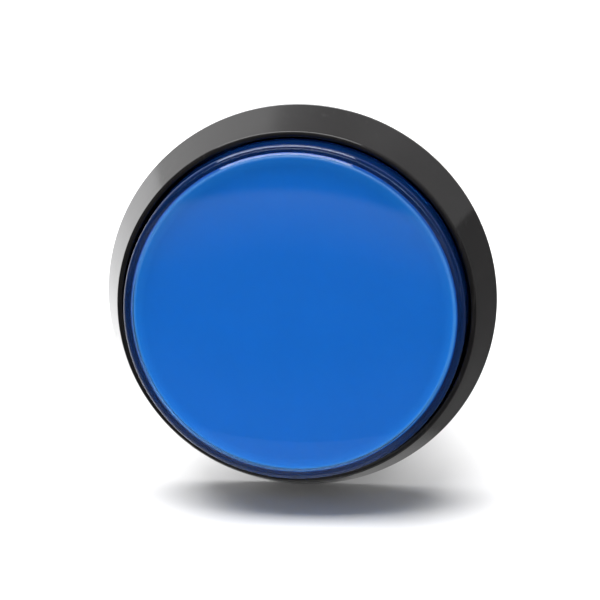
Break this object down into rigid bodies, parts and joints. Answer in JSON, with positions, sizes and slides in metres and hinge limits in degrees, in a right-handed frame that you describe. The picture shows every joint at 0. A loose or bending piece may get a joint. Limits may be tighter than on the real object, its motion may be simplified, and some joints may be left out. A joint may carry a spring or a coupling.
{
  "type": "quiz buzzer push button",
  "caption": "Round illuminated panel push button for quiz games: flared black bezel, tinted lens on a sprung plunger, threaded barrel with nut, twist-on lamp and switch holder.",
  "frame": {"origin": "centre of the bezel flange's underside, where it meets the panel", "axes": "+Z along the press axis, out of the panel towards the player; -X towards the switch's side tabs; -Y towards the switch"},
  "size_m": [0.06, 0.06, 0.079],
  "materials": {
    "black_bezel": "high-gloss moulded black",
    "blue_lens": "polished transparent blue",
    "white_diffuser": "milky white, satin",
    "black_nylon": "fine-textured black",
    "spring_steel": "drawn wire, bright",
    "white_lamp": "moulded off-white",
    "clear_epoxy": "water-clear cast epoxy",
    "resistor_coat": "lacquered tan",
    "tinned_wire": "tinned, dull bright",
    "tinned_brass": "stamped strip, tin-plated",
    "switch_body": "moulded phenolic, satin",
    "switch_red": "moulded red",
    "silver_contact": "silver alloy, bright",
    "phosphor_bronze": "rolled spring strip"
  },
  "bodies": {
    "housing": {"housing": "black_bezel", "return_spring": "spring_steel"},
    "nut": {"panel_nut": "black_nylon"},
    "button": {"lens_cap": "blue_lens", "diffuser_disc": "white_diffuser", "plunger": "black_nylon"},
    "holder": {"lamp_holder": "black_nylon", "lamp_base": "white_lamp", "lamp_led": "clear_epoxy", "lamp_resistor": "resistor_coat", "lamp_leads": "tinned_wire", "lamp_contact_positive": "tinned_brass", "lamp_contact_negative": "tinned_brass", "switch_case": "switch_body", "switch_cover": "switch_body", "terminal_common": "tinned_brass", "terminal_normally_open": "tinned_brass", "terminal_normally_closed": "tinned_brass", "fixed_contacts": "silver_contact"},
    "switch_plunger": {"switch_button": "switch_red"},
    "blade": {"contact_blade": "phosphor_bronze", "moving_contact": "silver_contact"}
  },
  "joints": [
    {"name": "button_press", "type": "slide", "parent": "housing", "child": "button", "axis": [0, 0, -1], "range_m": [0, 0.004], "stiffness_N_per_m": 350, "springref_m": -0.004, "deforming": ["return_spring"]},
    {"name": "nut_travel", "type": "slide", "parent": "housing", "child": "nut", "axis": [0, 0, -1], "range_m": [-0.0055, 0.011]},
    {"name": "holder_twist", "type": "hinge", "parent": "housing", "child": "holder", "pos_m": [0, 0, -0.0305], "axis": [0, 0, 1], "range_deg": [0, 30]},
    {"name": "switch_press", "type": "slide", "parent": "holder", "child": "switch_plunger", "axis": [0, 0, -1], "range_m": [0, 0.0015]},
    {"name": "blade_swing", "type": "hinge", "parent": "holder", "child": "blade", "pos_m": [0.0025, -0.0067, -0.04772], "axis": [0, -1, 0], "range_deg": [0, 3.2]}
  ],
  "couplings": [
    {"joint": "switch_press", "follows": "button_press", "ratio": 0.375},
    {"joint": "blade_swing", "follows": "button_press", "rad_per_m": 13.96}
  ]
}
